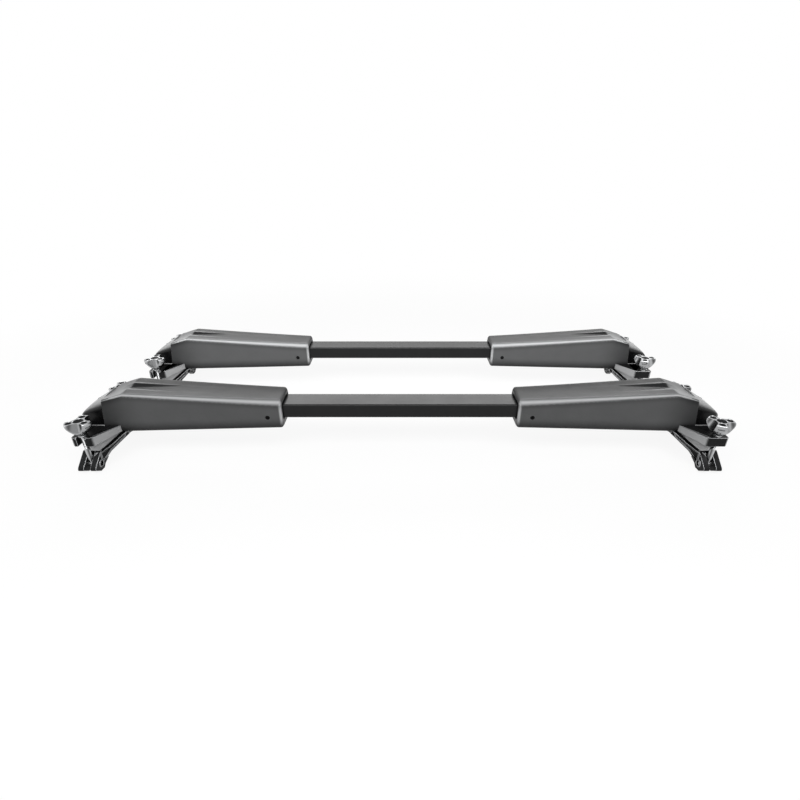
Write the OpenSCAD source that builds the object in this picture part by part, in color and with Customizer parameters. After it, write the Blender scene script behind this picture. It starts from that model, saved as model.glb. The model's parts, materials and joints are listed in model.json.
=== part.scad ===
// Surfboard roof rack: two crossbars with cradle pads and clamp feet.
// X runs along the bars, Y from the front bar to the rear bar, Z up.
// The origin is on the ground, midway between the four feet.

/* [Crossbars] */
// Distance between the centre lines of the two bars
bar_pitch = 305; // [200:5:900]
// Distance from the middle of a bar to its cut end
bar_half_len = 556; // [400:1:800]
// Width of the bar tube
bar_w = 50; // [44:0.5:60]
// Height of the bar tube
bar_h = 28; // [24:0.5:30]
// Wall of the bar tube
bar_wall = 2.5; // [1.5:0.1:4]
// Corner radius of the bar tube
bar_r = 3.5; // [2.7:0.1:6]
// Height of the bar's top face above the ground
stand_h = 112; // [110:0.5:125]

/* [Cradle pads] */
// Length of bar that the pad covers
pad_cover_len = 331.5; // [150:0.5:380]
// Distance from the bar's end inwards to the highest point of the ridges
pad_peak_in = 40; // [36:0.5:56]
// Thickness of the pad beside the bar at its inner end
pad_side_t = 10; // [8:0.5:14]
// Extra half width of the pad at its highest point
pad_flare = 4.4; // [3:0.2:6]
// Height of the pad's top above the bar at its inner end
pad_in_top = 13.3; // [8:0.1:18]
// Height of the ridges above the bar at their highest point
pad_peak_top = 29.6; // [22:0.1:36]
// Depth of the pad's underside below the bar's top at the inner end
pad_in_drop = 46.5; // [38:0.5:50]
// Depth of the pad's underside below the bar's top at the outer end
pad_out_drop = 52; // [48:0.5:52.5]
// Depth of the valley between the ridges at their highest point
valley_d = 4.3; // [2:0.1:7]
// Half width of the valley
valley_y = 12.5; // [10:0.5:18]
// Length of the valley from the highest point of the ridges inwards
valley_len = 92; // [40:1:150]
// Wall of the moulded pad beside the foot
pad_wall = 4.5; // [3:0.1:4.7]

/* [End covers] */
// Distance from the bar's end outwards to the nose of the end cover
cover_nose = 62; // [60:0.5:84]
// Wall of the end cover
cover_wall = 3; // [2:0.1:4]

/* [Feet] */
// Depth of the foot's top face below the bar's top
foot_drop = 37; // [35:0.5:39]
// Thickness of the foot's ears
ear_t = 18.5; // [15:0.5:22]
// Distance from the bar's centre line to the end of an ear
ear_y = 85; // [84:0.5:90]
// Distance from the bar's end to the outer side of the ears
ear_out = 48; // [46:0.5:60]

/* [Clamps] */
// Distance from the bar's end to the clamp bolts
bolt_x = 29.5; // [28:0.5:32]
// Distance from the bar's centre line to the clamp bolts
bolt_y = 75; // [73:0.5:77]
// Diameter of the clamp bolts
bolt_d = 10; // [8:0.5:10]
// Depth of the bolt's cross head below the bar's top
head_drop = 99; // [96:0.5:102]
// Diameter of the bolt's cross head
head_d = 9; // [7:0.5:11]
// Distance from the bar's end inwards to the lower jaw's hinge pin
hinge_in = 36; // [34:0.5:40]
// Depth of the hinge pin below the bar's top
hinge_drop = 46.5; // [45:0.5:48]
// Diameter of the hinge pin
pin_d = 7; // [5:0.5:8]
// Angle through which the lower jaw opens with the bolts engaged
jaw_open = 10; // [6:1:12]

/* [Knobs] */
// Radius from the knob's axis to the tip of a lobe
knob_r = 23.5; // [20:0.5:29]
// Height of the knob
knob_h = 28; // [23:0.5:34]
// Radius of the knob's foot
knob_foot_r = 7; // [6.5:0.5:10]

/* [Fits] */
// Radial play of a turning pin or shaft
run_fit = 0.08; // [0.05:0.01:0.1]
// Gap between pieces that move past each other
slide_gap = 0.3; // [0.2:0.05:0.5]
// Gap between pieces that are fixed together
seat_gap = 0.1; // [0.05:0.05:0.2]

/* [Hidden] */
$fn = 48;
FEET = ["front_left", "front_right", "rear_left", "rear_right"];

// Everything at an end of a bar is drawn for the right end: x is counted outwards from
// the bar's cut end, y from its centre line and z from its top face
foot_z = -foot_drop;
head_z = -head_drop;
hinge_x = -hinge_in;
hinge_z = -hinge_drop;
ground_z = -stand_h;
// Beyond any piece, for cutting right through
far = 200;

function steps(n) = [for (i = [0:n]) i / n];
function lerp(a, b, t) = a + (b - a) * t;
function clamp01(t) = min(1, max(0, t));
// Points of an arc of radius r about [x, y]
function arc(x, y, r, from, to, n = 4) =
    [for (t = steps(n)) let (a = lerp(from, to, t)) [x + r * cos(a), y + r * sin(a)]];
function flip_x(points) = [for (i = [len(points) - 1:-1:0]) [-points[i].x, points[i].y]];
function flip_y(points) = [for (i = [len(points) - 1:-1:0]) [points[i].x, -points[i].y]];

// Solid skinned over rings of [y, z] points, one ring for each x
module loft(xs, rings) {
    n = len(rings[0]);
    last = len(xs) - 1;
    points = [for (i = [0:last]) for (p = rings[i]) [xs[i], p.x, p.y]];
    walls = [for (i = [0:last - 1]) for (j = [0:n - 1])
        let (a = i * n + j, b = i * n + (j + 1) % n) each [[a, b + n, b], [a, a + n, b + n]]];
    ends = [[for (j = [0:n - 1]) j], [for (j = [n - 1:-1:0]) last * n + j]];
    polyhedron(points, concat(walls, ends), convexity = 6);
}

// Rectangle of w by h with round corners of radius r, centred
module round_rect(w, h, r) {
    square([w - 2 * r, h], center = true);
    square([w, h - 2 * r], center = true);
    for (sx = [-1, 1], sy = [-1, 1]) translate([sx * (w / 2 - r), sy * (h / 2 - r)]) circle(r);
}

// Block between two corners
module box(lo, hi) translate(lo) cube(hi - lo);

// Outline in X and Z, extruded from y0 to y1
module slab_y(y0, y1) translate([0, y1, 0]) rotate([90, 0, 0]) linear_extrude(y1 - y0) children();

// Round bar along Y from y0 to y1
module rod_y(r, y0, y1) translate([0, y0, 0]) rotate([-90, 0, 0]) cylinder(r = r, h = y1 - y0);

// Round bar along X from x0 to x1
module rod_x(r, x0, x1) translate([x0, 0, 0]) rotate([0, 90, 0]) cylinder(r = r, h = x1 - x0);

// The same on both sides of the bar's centre line
module both_sides() {
    children();
    mirror([0, 1, 0]) children();
}

// Crossbar

// Bolts that draw the foot up to the bar
foot_bolt_x = [-66, -20];
foot_bolt_r = 3.1;
// Screw that fixes the pad through the bar's front wall
screw_x = 28.2 - pad_cover_len;
screw_z = -22;
screw_r = 2.5;

module bar() {
    color("#202122") difference() {
        translate([-bar_half_len, 0, -bar_h / 2]) rotate([90, 0, 90]) linear_extrude(2 * bar_half_len)
            difference() {
                round_rect(bar_w, bar_h, bar_r);
                round_rect(bar_w - 2 * bar_wall, bar_h - 2 * bar_wall, bar_r - 1);
            }
        for (end = [0, 1]) mirror([end, 0, 0]) translate([bar_half_len, 0, 0]) {
            for (x = foot_bolt_x) translate([x, 0, -bar_h - 1]) cylinder(r = foot_bolt_r + 0.2, h = bar_wall + 2);
            translate([screw_x, 0, screw_z]) rod_y(screw_r + 0.1, -bar_w / 2 - 1, -bar_w / 2 + bar_wall + 1);
        }
    }
}

// Cradle pad

pad_in_x = -pad_cover_len;
pad_peak_x = -pad_peak_in;
pad_in_w = bar_w / 2 + pad_side_t;
pad_out_w = pad_in_w + pad_flare;
pad_end_x = 9;
pad_end_lean = 7;
pad_low_r = 8;
// Radius of the pad's upper edges at its inner end and at the highest point
pad_top_r = [10, 4.5];
// Height of the pad's crest where it meets the end cover
pad_end_top = 12;
valley_in_x = pad_peak_x - valley_len;
// The valley's floor runs level from the highest point until the outer slope meets it
valley_end_x = pad_peak_x + valley_d * (pad_end_x - pad_end_lean - pad_peak_x) / (pad_peak_top - pad_end_top);

// Along the pad, from 0 at its inner end to 1 at its highest point
function pad_t(x) = (x - pad_in_x) / (pad_peak_x - pad_in_x);
function pad_half(x) = lerp(pad_in_w, pad_out_w, min(1, pad_t(x)));
function pad_ridge(x) = x <= pad_peak_x
    ? lerp(pad_in_top, pad_peak_top, pow(clamp01(pad_t(x)), 1.15))
    : lerp(pad_peak_top, pad_end_top, (x - pad_peak_x) / (pad_end_x - pad_end_lean - pad_peak_x));
// Depth of the valley as a share of its full depth
function pad_valley(x) = x > pad_peak_x ? clamp01((valley_end_x - x) / (valley_end_x - pad_peak_x))
    : clamp01((x - valley_in_x) / valley_len);
function pad_floor(x) = -lerp(pad_in_drop, pad_out_drop, clamp01(pad_t(x)));

// One half of the pad's cross-section, drawn in from the true surface by the inset. The valley's
// sides keep their slope, so its floor widens as it gets shallower
function pad_side(x, inset) =
    let (w = pad_half(x) - inset, top = pad_ridge(x) - inset, low = pad_floor(x) + inset, v = pad_valley(x),
        r = lerp(pad_top_r[0], pad_top_r[1], clamp01(pad_t(x))))
    concat(
        arc(w - pad_low_r, low + pad_low_r, pad_low_r, -90, 0, 3),
        arc(w - r, top - r, r, 0, 85, 4),
        [[valley_y, top], [lerp(valley_y - 1.5, 1, v), top - valley_d * v]]
    );
function pad_ring(x, inset) = let (side = pad_side(x, inset)) concat(side, flip_x(side));

module pad_body() {
    edge = 6;
    ends = [for (t = steps(3)) [pad_in_x + edge * (1 - cos(90 * t)), edge * (1 - sin(90 * t))]];
    runs = [for (t = [0.18, 0.34, 0.5]) [lerp(pad_in_x, pad_peak_x, t), 0]];
    tips = [for (x = [valley_in_x, pad_peak_x - valley_len / 2, pad_peak_x, valley_end_x, pad_end_x]) [x, 0]];
    all = concat(ends, runs, tips);
    loft([for (s = all) s[0]], [for (s = all) pad_ring(s[0], s[1])]);
}

// Everything outside this outline is cut away where the pad meets the end cover
module pad_end_outline(gap) {
    top = pad_end_x - pad_end_lean - gap;
    low = pad_end_x - gap;
    polygon([[top + 2, 60], [top, pad_end_top], [low, foot_z], [low, -80], [far, -80], [far, 60]]);
}

module pad() {
    fit = bar_w / 2 + seat_gap;
    mouth = 3;
    mouth_len = 12;
    pocket_in_x = -80;
    ears_x = -21.5;
    rib_pitch = 56;
    rib_gap = 48;
    color("#4b4d4e") difference() {
        pad_body();
        box([pad_in_x - 1, -fit, -bar_h - seat_gap], [1, fit, seat_gap]);
        // Flared mouth round the bar at the inner end
        box([pad_in_x - 1, -fit - mouth, -bar_h - mouth], [pad_in_x + mouth_len, fit + mouth, mouth]);
        slab_y(-60, 60) pad_end_outline(0);
        // Pocket for the foot, open below and towards the end cover
        box([pocket_in_x, -pad_out_w + pad_wall, -80], [pad_end_x + 1, pad_out_w - pad_wall, 1 - bar_h]);
        // The side walls stop short above the ears
        box([ears_x, -60, -80], [pad_end_x + 1, 60, foot_z + slide_gap]);
        // Light pockets under the pad, with a rib between each two
        for (x = [pocket_in_x - rib_pitch:-rib_pitch:pad_in_x + mouth_len])
            box([x, -bar_w / 2 - 1, -80], [x + rib_gap, bar_w / 2 + 1, -bar_h - 5]);
        // Screw through the front wall, its head let in
        translate([screw_x, 0, screw_z]) rod_y(screw_r + 0.1, -60, 1 - bar_w / 2);
        translate([screw_x, 0, screw_z]) rod_y(4.5, -60, 3 - pad_in_w);
    }
}

// End cover, a shell that falls away outwards

cover_half_w = 38.4;
cover_screw_x = 26;
cover_in_x = pad_end_x - pad_end_lean;
cover_low = foot_z + seat_gap;
cover_screw_r = 1.65;
function cover_t(x) = clamp01((x - cover_in_x) / (cover_nose - cover_in_x));
function cover_half(x) = min(cover_half_w, cover_half_w * sqrt(1 - pow(cover_t(x), 3)) + 6);
function cover_crown(x) = 19.5 - 40 * cover_t(x) - 10 * pow(cover_t(x), 8);
function cover_edge(x) = min(-7 - 8 * cover_t(x), cover_crown(x) - 4);
function cover_side(x, wall, low) =
    let (w = cover_half(x) - wall, e = cover_edge(x) - wall / 2, c = cover_crown(x) - wall)
    concat([[w, low]], [for (a = [0:15:90]) [w * pow(cos(a), 0.8), e + (c - e) * pow(sin(a), 0.8)]]);
function cover_ring(x, wall, low) =
    let (side = cover_side(x, wall, low))
    concat(side, flip_x([for (i = [0:len(side) - 2]) side[i]]));
head_seat_z = cover_crown(cover_screw_x) - 3.5;

module cover_form(wall, low, nose) {
    xs = [for (t = [0, 0.2, 0.4, 0.58, 0.72, 0.83, 0.91, 0.965, 1]) lerp(cover_in_x - 1, nose, t)];
    loft(xs, [for (x = xs) cover_ring(x, wall, low)]);
}

module cover() {
    head_r = 4;
    color("#101112") difference() {
        union() {
            difference() {
                cover_form(0, cover_low, cover_nose);
                cover_form(cover_wall, cover_low - 5, cover_nose - cover_wall);
                difference() {
                    box([-50, -60, -90], [40, 60, 60]);
                    slab_y(-61, 61) pad_end_outline(-slide_gap);
                }
            }
            // Screw post inside the cover
            translate([cover_screw_x, 0, cover_low]) cylinder(r = head_r + 2, h = head_seat_z + 1 - cover_low);
        }
        translate([cover_screw_x, 0, -60]) cylinder(r = cover_screw_r + 0.35, h = 100);
        translate([cover_screw_x, 0, head_seat_z]) cylinder(r = head_r, h = 20);
    }
}

// Foot, with its slotted ear at the rear

foot_in_x = -21;
foot_in_y = pad_out_w - 0.4;
ear_in_x = 10;
plate_t = 12.5;
gusset_slope = (ear_y - foot_in_y) / (ear_in_x - foot_in_x);
// The wall under the plate stands back from the plate's edge
wall_back = 14.3;
wall_end_y = 82.5;
function wall_y(x) = foot_in_y - wall_back + (x - foot_in_x) * gusset_slope;
function wall_x(y) = foot_in_x + (y - foot_in_y + wall_back) / gusset_slope;
// Underside of the foot's wall, where the upper jaw grips, as [x, z]
grip_line = [[-18, -53], [-14, -55.2], [-1, -65], [11, -73], [24, -73.5]];

module plate_plan(round_r) {
    turn = atan(gusset_slope);
    half = concat(
        [[foot_in_x, foot_in_y]],
        arc(ear_in_x + round_r * tan(turn / 2), ear_y - round_r, round_r, 90 + turn, 90, 6),
        [[ear_out - 4, ear_y], [ear_out, ear_y - 4]]
    );
    polygon(concat(half, flip_y(half)));
}

module wall_plan() {
    behind_bolt = bolt_y - 19;
    clear_x = bolt_x - bolt_d / 2 - 4.5;
    half = [[foot_in_x + 1, wall_y(foot_in_x + 1)], [wall_x(wall_end_y), wall_end_y],
        [clear_x, wall_end_y], [clear_x, behind_bolt], [ear_out - 1, behind_bolt]];
    polygon(concat(half, flip_y(half)));
}

// The bolt stands in the slot and leans outwards as the jaw opens
slot_play = 0.6;
slot_in_x = hinge_x + (bolt_x - hinge_x - bolt_d / 2) / cos(jaw_open)
    + (hinge_drop - foot_drop - ear_t) * tan(jaw_open) - slot_play;
slot_out_x = hinge_x + (bolt_x - hinge_x + bolt_d / 2) / cos(jaw_open)
    + (hinge_drop - foot_drop) * tan(jaw_open) + slot_play;

// Slot through an ear at the front, open at the ear's end or closed
module ear_slot(open) {
    r = bolt_d / 2 + slot_play;
    low = -80;
    high = 60;
    for (x = [slot_in_x + r, slot_out_x - r]) translate([x, -bolt_y, low]) cylinder(r = r, h = high);
    box([slot_in_x + r, -bolt_y - r, low], [slot_out_x - r, -bolt_y + r, low + high]);
    if (open) box([slot_in_x, -far, low], [slot_out_x, -bolt_y, low + high]);
}

hinge_block_y = 22;
boss_r = 6.5;

module foot() {
    round_r = 11;
    saddle_y = bar_w / 2 + 5;
    ease = 4;
    ease_half = washer_r + 1;
    wall_low = grip_line[len(grip_line) - 1].y;
    hollow_y = 34;
    hollow_lo = -4;
    hollow_hi = 42;
    color("#2a2b2c") difference() {
        union() {
            // Ears and top plate
            intersection() {
                translate([0, 0, foot_z - ear_t - 1]) linear_extrude(ear_t + 1) plate_plan(round_r);
                slab_y(-far, far) polygon([[-60, foot_z], [far, foot_z], [far, foot_z - ear_t],
                    [ear_in_x, foot_z - ear_t], [foot_in_x, foot_z - plate_t], [-60, foot_z - plate_t]]);
            }
            // Wall below the plate, the upper jaw
            intersection() {
                translate([0, 0, -110]) linear_extrude(90) wall_plan();
                slab_y(-far, far) polygon(concat([[-60, foot_z - 1], [-60, -53], [foot_in_x + 1, -53]], grip_line,
                    [[far, wall_low], [far, foot_z - 1]]));
                // Its lower edge rises again at the ends
                rotate([90, 0, 90]) linear_extrude(far, center = true) polygon([[-wall_end_y, foot_z],
                    [-wall_end_y, wall_low + 8], [-71.5, wall_low], [71.5, wall_low], [wall_end_y, wall_low + 8],
                    [wall_end_y, foot_z]]);
            }
            // Saddle under the bar
            box([-76, -saddle_y, -50], [-47, saddle_y, -bar_h - seat_gap]);
            box([-50, -saddle_y, foot_z - 1.5], [-8, saddle_y, -bar_h - seat_gap]);
            // Hinge block between the sides of the lower jaw
            slab_y(-hinge_block_y, hinge_block_y) {
                translate([hinge_x, hinge_z]) circle(boss_r);
                polygon([[-50, -35], [-50, -50], [hinge_x - 4, -51], [hinge_x + 4, -51], [-8, -50], [-8, -35]]);
            }
        }
        mirror([0, 1, 0]) ear_slot(true);
        ear_slot(false);
        // Hollow of the casting, closed above by the end cover
        difference() {
            slab_y(-hollow_y, hollow_y) polygon([[hollow_lo, 0], [hollow_lo, -58], [11, -69], [hollow_hi, -69],
                [hollow_hi, 0]]);
            box([-20, -3, -110], [far, 3, 0]);
            translate([cover_screw_x, 0, -110]) cylinder(r = 7, h = 110);
        }
        translate([cover_screw_x, 0, -60]) cylinder(r = cover_screw_r + 0.05, h = 60);
        translate([hinge_x, 0, hinge_z]) rod_y(pin_d / 2, -60, 60);
        // Foot bolts, their heads let in from below
        for (x = foot_bolt_x) {
            translate([x, 0, -70]) cylinder(r = foot_bolt_r + 0.2, h = 50);
            translate([x, 0, -90]) cylinder(r = 6.5, h = 44);
        }
        // The edge at the open slot is eased so that the washer rolls off it
        translate([bolt_x, ear_y, foot_z]) rotate([45, 0, 0]) cube([2 * ease_half, ease, ease], center = true);
    }
}

// Lower jaw, a cast fork that widens from the hinge to the two bolts

arm_x = -25;
arm_y = 30.5;
arm_turn = 42.7;
arm_t = 9;
web_t = 4;
cheek_t = 11;
cheek_gap = bolt_d + 2;
cheek_in_x = bolt_x - cheek_gap / 2 - cheek_t;
cheek_out_x = bolt_x + cheek_gap / 2 + cheek_t;
jaw_side_y = [hinge_block_y + slide_gap, 32.5];
// Upper and lower edge of an arm, as [distance along the arm, z]
arm_top = [[-3, -52.6], [4.9, -53.8], [31.6, -69], [53.2, -78.8], [57, -82]];
arm_low = [[57, -105], [53, -100], [44.5, -91.5], [35, -82], [7.6, -64.6], [-4.7, -57]];
rubber_t = 2.5;
mouth_gap = 0.9;
upper_rubber_t = 1.5;
lower_rubber_z = upper_rubber_t + seat_gap + mouth_gap;
jaw_plate_z = lower_rubber_z + rubber_t + seat_gap;
jaw_plate_t = 6;

module arm() {
    rim = [0, 2.8];
    translate([arm_x, arm_y, 0]) rotate([0, 0, arm_turn]) difference() {
        slab_y(-arm_t / 2, arm_t / 2) polygon(concat(arm_top, arm_low));
        // Web sunk between the rims on both faces
        for (side = [0, 1]) mirror([0, side, 0]) slab_y(web_t / 2, arm_t)
            polygon(concat([for (i = [1:3]) arm_top[i] - rim], [for (i = [1:4]) arm_low[i] + rim]));
    }
}

// Plan of the room between the arms, drawn in from their middles
module between_arms(inset, x0, x1) {
    half = [for (x = [x0, x1]) [x, arm_y + (x - arm_x) * tan(arm_turn) - inset]];
    translate([0, 0, -120]) linear_extrude(110) polygon(concat(half, flip_y(half)));
}

// Layer that follows the grip line, from one depth below it to another
module grip_layer(from, to) {
    slab_y(-90, 90) polygon(concat([for (p = grip_line) p - [0, from]],
        [for (i = [len(grip_line) - 1:-1:0]) grip_line[i] - [0, to]]));
}

// Side of a fork cheek, as [y, z]
cheek_outline = concat(
    [[50, -100], [52, -78], [66, -76], [93, -97]],
    arc(91, -101, 4, 20, -40, 3),
    [[84, ground_z + 2], [82, ground_z], [70, ground_z], [64, -106]]
);

module lower_jaw() {
    fork_y = 60;
    boss = 7;
    boss_h = 1.5;
    color("#1c1d1e") difference() {
        union() {
            both_sides() {
                arm();
                // Hinge cheek beside the hinge block
                slab_y(jaw_side_y[0], jaw_side_y[1]) {
                    translate([hinge_x, hinge_z]) circle(boss_r);
                    polygon([[hinge_x, hinge_z + boss_r], [hinge_x + 5, hinge_z + 4], [-26, -52.6], [-22, -53],
                        [-22, -61], [-29, -57], [hinge_x - 3, hinge_z - 5.8]]);
                }
                difference() {
                    translate([cheek_in_x, 0, 0]) rotate([90, 0, 90])
                        linear_extrude(cheek_out_x - cheek_in_x) polygon(cheek_outline);
                    // Fork open towards the bolt's way out
                    box([bolt_x - cheek_gap / 2, fork_y, -130], [bolt_x + cheek_gap / 2, 130, -50]);
                }
                translate([0, bolt_y, head_z]) rod_x(boss, cheek_in_x - boss_h, cheek_in_x + 1);
            }
            // Cross plate that carries the rubber
            intersection() {
                grip_layer(jaw_plate_z, jaw_plate_z + jaw_plate_t);
                between_arms(0, -18, 22);
            }
        }
        translate([hinge_x, 0, hinge_z]) rod_y(pin_d / 2 + run_fit, -40, 40);
        both_sides() translate([0, bolt_y, head_z]) rod_x(head_d / 2 + run_fit, -10, 90);
    }
}

module jaw_rubber() {
    color("#0c0c0d") intersection() {
        grip_layer(lower_rubber_z, lower_rubber_z + rubber_t);
        between_arms(arm_t - 1, -16, 11);
    }
}

module upper_jaw_rubber() {
    color("#0c0c0d") intersection() {
        grip_layer(seat_gap, seat_gap + upper_rubber_t);
        between_arms(arm_t - 1, -14, 20);
    }
}

// Clamp bolt with its cross head, at the front

bolt_top_z = foot_z + 21;

module clamp_bolt() {
    barrel_r = 6;
    color("#c9cbcd") translate([bolt_x, -bolt_y, 0]) {
        translate([0, 0, head_z]) cylinder(r = bolt_d / 2, h = bolt_top_z - head_z);
        translate([0, 0, head_z]) rod_x(barrel_r, slide_gap - cheek_gap / 2, cheek_gap / 2 - slide_gap);
        translate([0, 0, head_z]) rod_x(head_d / 2, 1 - cheek_gap / 2 - cheek_t, cheek_gap / 2 + cheek_t - 1);
    }
}

washer_t = 2;
washer_r = 8.5;
washer_z = foot_z + 2 * slide_gap;
knob_z = washer_z + washer_t + seat_gap;

module washer() {
    color("#b4b7ba") translate([bolt_x, -bolt_y, washer_z]) difference() {
        cylinder(r = washer_r, h = washer_t);
        translate([0, 0, -1]) cylinder(r = bolt_d / 2 + run_fit, h = washer_t + 2);
    }
}

// Knob with three lobes that widens upwards
lobe_cut_r = knob_r - 7.5;
lobe_cut_at = knob_r + 3;
inlay_r = 8.5;
lobe_inlay_r = 4.5;
lobe_inlay_at = knob_r - 8;
inlay_depth = 2;
// Finger slot across the end of each lobe
grip_slot = [2, 11, 3];

// Centre recess and one recess in each lobe
module inlay_form(play, h) {
    cylinder(r = inlay_r - play, h = h);
    for (a = [0:120:240]) rotate([0, 0, a]) translate([lobe_inlay_at, 0, 0]) cylinder(r = lobe_inlay_r - play, h = h);
}

module knob(turn) {
    rim = 1;
    color("#a9adb0") translate([bolt_x, -bolt_y, knob_z]) rotate([0, 0, turn]) difference() {
        rotate_extrude() polygon([[0, 0], [knob_foot_r, 0], [knob_foot_r, 2], [knob_foot_r + 1.5, 5],
            [knob_r - rim, knob_h - 8], [knob_r, knob_h - 6], [knob_r, knob_h - 2.5], [knob_r - 2, knob_h - rim],
            [knob_r - 6, knob_h], [0, knob_h]]);
        for (a = [60:120:300]) rotate([0, 0, a]) translate([lobe_cut_at, 0, 5]) cylinder(r = lobe_cut_r, h = knob_h);
        translate([0, 0, -1]) cylinder(r = bolt_d / 2 + run_fit, h = knob_h - 3.5);
        translate([0, 0, knob_h - inlay_depth]) inlay_form(0, 5);
        for (a = [0:120:240]) rotate([0, 0, a]) translate([knob_r, 0, knob_h - 7.5])
            cube([2 * grip_slot.x, grip_slot.y, grip_slot.z], center = true);
    }
}

module inlay(turn) {
    color("#0e0f10") translate([bolt_x, -bolt_y, knob_z + knob_h - inlay_depth + seat_gap])
        rotate([0, 0, turn]) inlay_form(seat_gap, inlay_depth);
}

// Fasteners

module hinge_pin() {
    head = jaw_side_y[1] + slide_gap;
    color("#8f9296") translate([hinge_x, 0, hinge_z]) {
        rod_y(pin_d / 2, -head, head);
        both_sides() rod_y(pin_d / 2 + 1.5, head, head + 1.5);
    }
}

module pad_screw() {
    head = 3 - pad_in_w;
    color("#7c7f82") translate([screw_x, 0, screw_z]) {
        rod_y(screw_r, head - 0.5, 5 - bar_w / 2);
        difference() {
            rod_y(4.3, head - 2.8, head - seat_gap);
            rod_y(1.6, head - 4, head - 1.5);
        }
    }
}

module cover_screw() {
    color("#1a1a1b") translate([cover_screw_x, 0, 0]) {
        translate([0, 0, -46]) cylinder(r = cover_screw_r, h = 47 + head_seat_z);
        translate([0, 0, head_seat_z + seat_gap]) cylinder(r = 3.7, h = 2.4);
    }
}

module foot_bolt() {
    hex_r = 5.8;
    color("#8f9296") for (x = foot_bolt_x) translate([x, 0, 0]) {
        translate([0, 0, -48]) cylinder(r = foot_bolt_r, h = 26);
        translate([0, 0, -50]) cylinder(r = hex_r, h = 3.9, $fn = 6);
        translate([0, 0, bar_wall + seat_gap - bar_h]) cylinder(r = hex_r, h = 4, $fn = 6);
    }
}

// Placing: the left foot is the right foot turned half round, the rest is mirrored

function is_left(f) = f == "front_left" || f == "rear_left";
function bar_y(f) = (f == "front_left" || f == "front_right") ? -bar_pitch / 2 : bar_pitch / 2;

module mirrored(f) translate([0, bar_y(f), stand_h]) mirror([is_left(f) ? 1 : 0, 0, 0])
    translate([bar_half_len, 0, 0]) children();
module turned(f) translate([0, bar_y(f), stand_h]) rotate([0, 0, is_left(f) ? 180 : 0])
    translate([bar_half_len, 0, 0]) children();
// Clamp 1 is towards the front of the car, clamp 2 towards the rear
module clamped(f, k) mirrored(f) mirror([0, k == 2 ? 1 : 0, 0]) children();
knob_turns = [60, 55, 98, 10, 69, 55, 107, 30];

translate([0, -bar_pitch / 2, stand_h]) bar();  // bar_front
translate([0, bar_pitch / 2, stand_h]) bar();  // bar_rear
for (f = FEET) turned(f) hinge_pin();  // hinge_pins
for (f = FEET) mirrored(f) pad_screw();  // pad_screws
for (f = FEET) mirrored(f) cover_screw();  // cover_screws
for (f = FEET) mirrored(f) foot_bolt();  // foot_bolts
for (f = FEET) mirrored(f) upper_jaw_rubber();  // upper_jaw_rubbers
for (f = FEET) {
    mirrored(f) pad();
    mirrored(f) cover();
    turned(f) foot();
    mirrored(f) lower_jaw();
    mirrored(f) jaw_rubber();
}
for (i = [0:3], k = [1, 2]) {
    f = FEET[i];
    clamped(f, k) clamp_bolt();
    clamped(f, k) washer();
    clamped(f, k) knob(knob_turns[2 * i + k - 1]);
    clamped(f, k) inlay(knob_turns[2 * i + k - 1]);
}
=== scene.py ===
import json
import math

import bmesh
import bpy
import numpy as np
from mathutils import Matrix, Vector
from mathutils.bvhtree import BVHTree

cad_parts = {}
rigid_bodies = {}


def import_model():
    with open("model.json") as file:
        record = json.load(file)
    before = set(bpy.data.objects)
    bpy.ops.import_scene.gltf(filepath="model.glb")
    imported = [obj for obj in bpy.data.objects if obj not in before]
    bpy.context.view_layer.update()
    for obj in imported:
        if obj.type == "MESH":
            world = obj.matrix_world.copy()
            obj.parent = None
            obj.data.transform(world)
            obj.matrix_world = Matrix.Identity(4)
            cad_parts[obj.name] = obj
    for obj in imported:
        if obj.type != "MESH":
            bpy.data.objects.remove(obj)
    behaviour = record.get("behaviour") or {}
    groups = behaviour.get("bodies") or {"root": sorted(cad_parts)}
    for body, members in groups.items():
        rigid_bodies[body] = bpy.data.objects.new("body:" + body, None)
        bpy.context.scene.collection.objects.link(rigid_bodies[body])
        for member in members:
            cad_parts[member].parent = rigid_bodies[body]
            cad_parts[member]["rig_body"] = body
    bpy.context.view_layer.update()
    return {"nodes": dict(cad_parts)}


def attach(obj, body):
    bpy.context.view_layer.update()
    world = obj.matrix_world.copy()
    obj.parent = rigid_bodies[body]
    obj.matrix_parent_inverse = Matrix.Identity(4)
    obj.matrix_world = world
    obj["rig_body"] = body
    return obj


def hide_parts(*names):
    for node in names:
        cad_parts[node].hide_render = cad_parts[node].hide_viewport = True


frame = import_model()
nodes = frame["nodes"]
print("frame loaded:", len(nodes), "nodes")

# Sizes shared by the pieces: millimetres, x outwards from a bar's cut end,
# y from its centre line, z from its top face
rack = {
    "barPitch": 305.0,
    "barHalfLength": 556.0,
    "barTop": 112.0,
    "barHalfWidth": 25.0,
    "barHeight": 28.0,
    "footTop": -37.0,
    "boltX": 29.5,
    "boltY": -75.0,
    "boltRadius": 5.0,
    "crossHeadZ": -99.0,
    "knobZ": -34.3,
}
feet = ["front_left", "front_right", "rear_left", "rear_right"]


# Helpers for shapes and meshes

def mix(a, b, t):
    return a + (b - a) * t


def along(value, start, end):  # 0 up to the start, 1 from the end on, and straight between
    return np.clip((value - start) / (end - start), 0, 1)


def ramp(value, start, end):  # the same, but eased as 3t^2 - 2t^3
    t = along(value, start, end)
    return t * t * (3 - 2 * t)


def hump(value, middle, width):  # 1 in the middle, falling on both sides as exp(-d^2)
    return np.exp(-((value - middle) / width) ** 2)


def gridFaces(rows, columns, closed=False):
    # quads of a grid of points, row after row; a closed grid joins its last column to its first
    across = columns if closed else columns - 1
    i, j = np.meshgrid(np.arange(rows - 1), np.arange(across), indexing="ij")
    k = (j + 1) % columns
    corners = (i * columns + j, i * columns + k, (i + 1) * columns + k, (i + 1) * columns + j)
    return np.stack(corners, axis=-1).reshape(-1, 4)


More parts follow.
